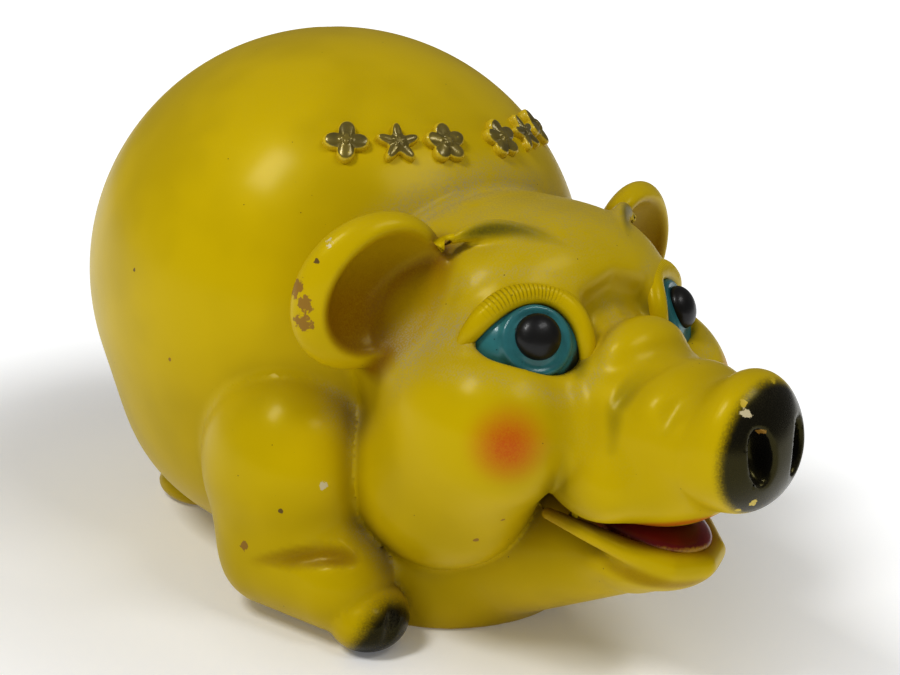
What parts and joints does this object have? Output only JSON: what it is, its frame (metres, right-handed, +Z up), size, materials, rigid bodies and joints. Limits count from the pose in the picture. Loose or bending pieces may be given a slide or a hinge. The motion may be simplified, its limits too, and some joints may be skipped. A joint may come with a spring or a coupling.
{
  "type": "piggy bank",
  "caption": "Round seated piggy bank with a hollow body, a coin slot in the back and a rubber stopper in the belly.",
  "frame": {"origin": "on the table, under the middle of the pig's box", "axes": "+Z up, the pig faces -Y, and its left side is +X"},
  "size_m": [0.1826, 0.3018, 0.183],
  "materials": {
    "yellow_lacquer": "thick glossy yellow lacquer over a cast body, dusty in the creases",
    "black_lacquer": "glossy black airbrushed lacquer",
    "red_lacquer": "dark red lacquer",
    "teal_lacquer": "glossy teal lacquer",
    "gilt_paint": "worn antique gilt paint",
    "dark_rubber": "dark grey moulded rubber"
  },
  "bodies": {
    "bank": {"torso_shell": "yellow_lacquer", "head_shell": "yellow_lacquer", "lower_jaw": "yellow_lacquer", "tail": "yellow_lacquer", "nose_pad": "black_lacquer", "tongue": "red_lacquer", "foreleg_left": "yellow_lacquer", "fore_hoof_left": "black_lacquer", "hind_foot_left": "yellow_lacquer", "ear_left": "yellow_lacquer", "eyeball_left": "teal_lacquer", "pupil_left": "black_lacquer", "upper_lid_left": "yellow_lacquer", "foreleg_right": "yellow_lacquer", "fore_hoof_right": "black_lacquer", "hind_foot_right": "yellow_lacquer", "ear_right": "yellow_lacquer", "eyeball_right": "teal_lacquer", "pupil_right": "black_lacquer", "upper_lid_right": "yellow_lacquer", "gilt_clover_1": "gilt_paint", "gilt_star_2": "gilt_paint", "gilt_blossom_3": "gilt_paint", "gilt_blossom_4": "gilt_paint", "gilt_star_5": "gilt_paint", "gilt_clover_6": "gilt_paint"},
    "stopper": {"stopper": "dark_rubber"}
  },
  "joints": [
    {"name": "stopper_pull", "type": "slide", "parent": "bank", "child": "stopper", "axis": [0, 0, -1], "range_m": [0, 0.02]}
  ]
}
